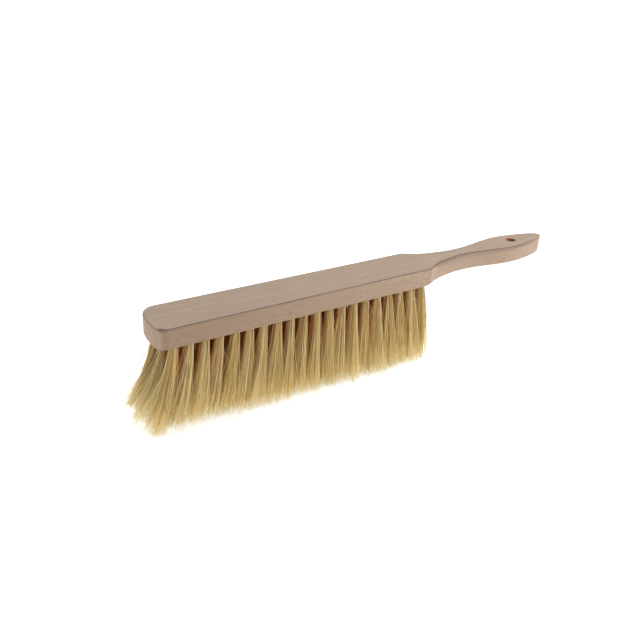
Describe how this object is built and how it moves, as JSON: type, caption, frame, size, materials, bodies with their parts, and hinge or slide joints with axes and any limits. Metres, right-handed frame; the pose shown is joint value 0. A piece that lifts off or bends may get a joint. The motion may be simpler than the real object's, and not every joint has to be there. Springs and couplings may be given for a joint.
{
  "type": "bee brush",
  "caption": "Long flat beech brush head running into a waisted handle with a hanging hole; rows of soft bristle tufts hang from its underside and flex sideways.",
  "frame": {"origin": "centre of the block's flat back face", "axes": "+X along the block towards the handle, +Y across the block, +Z out of the back face; the bristles hang towards -Z"},
  "size_m": [0.42, 0.0496, 0.0871],
  "materials": {
    "beech": "bare planed and sanded beech, fine dark flecks",
    "bristle": "pale golden brown natural bristle, slightly glossy"
  },
  "bodies": {
    "block": {"handle_block": "beech"},
    "near_row": {"tuft_near_01": "bristle", "tuft_near_02": "bristle", "tuft_near_03": "bristle", "tuft_near_04": "bristle", "tuft_near_05": "bristle", "tuft_near_06": "bristle", "tuft_near_07": "bristle", "tuft_near_08": "bristle", "tuft_near_09": "bristle", "tuft_near_10": "bristle", "tuft_near_11": "bristle", "tuft_near_12": "bristle", "tuft_near_13": "bristle", "tuft_near_14": "bristle", "tuft_near_15": "bristle", "tuft_near_16": "bristle", "tuft_near_17": "bristle", "tuft_near_18": "bristle", "tuft_near_19": "bristle", "tuft_near_20": "bristle"},
    "middle_row": {"tuft_middle_01": "bristle", "tuft_middle_02": "bristle", "tuft_middle_03": "bristle", "tuft_middle_04": "bristle", "tuft_middle_05": "bristle", "tuft_middle_06": "bristle", "tuft_middle_07": "bristle", "tuft_middle_08": "bristle", "tuft_middle_09": "bristle", "tuft_middle_10_11": "bristle", "tuft_middle_12": "bristle", "tuft_middle_13": "bristle", "tuft_middle_14": "bristle", "tuft_middle_15": "bristle", "tuft_middle_16": "bristle", "tuft_middle_17": "bristle", "tuft_middle_18": "bristle", "tuft_middle_19": "bristle", "tuft_middle_20": "bristle"},
    "far_row": {"tuft_far_01": "bristle", "tuft_far_02": "bristle", "tuft_far_03": "bristle", "tuft_far_04": "bristle", "tuft_far_05": "bristle", "tuft_far_06": "bristle", "tuft_far_07": "bristle", "tuft_far_08": "bristle", "tuft_far_09": "bristle", "tuft_far_10": "bristle", "tuft_far_11": "bristle", "tuft_far_12": "bristle", "tuft_far_13": "bristle", "tuft_far_14": "bristle", "tuft_far_15": "bristle", "tuft_far_16": "bristle", "tuft_far_17": "bristle", "tuft_far_18": "bristle", "tuft_far_19": "bristle", "tuft_far_20": "bristle"}
  },
  "joints": [
    {"name": "middle_row_flex", "type": "hinge", "parent": "block", "child": "middle_row", "pos_m": [0, 0, -0.0156], "axis": [1, 0, 0], "range_deg": [-25, 25], "stiffness_Nm_per_rad": 0.4},
    {"name": "near_row_flex", "type": "hinge", "parent": "block", "child": "near_row", "pos_m": [0, -0.0142, -0.0156], "axis": [1, 0, 0], "range_deg": [-25, 25], "stiffness_Nm_per_rad": 0.4},
    {"name": "far_row_flex", "type": "hinge", "parent": "block", "child": "far_row", "pos_m": [0, 0.0142, -0.0156], "axis": [1, 0, 0], "range_deg": [-25, 25], "stiffness_Nm_per_rad": 0.4}
  ],
  "couplings": [
    {"joint": "near_row_flex", "follows": "middle_row_flex", "ratio": 1},
    {"joint": "far_row_flex", "follows": "middle_row_flex", "ratio": 1}
  ]
}
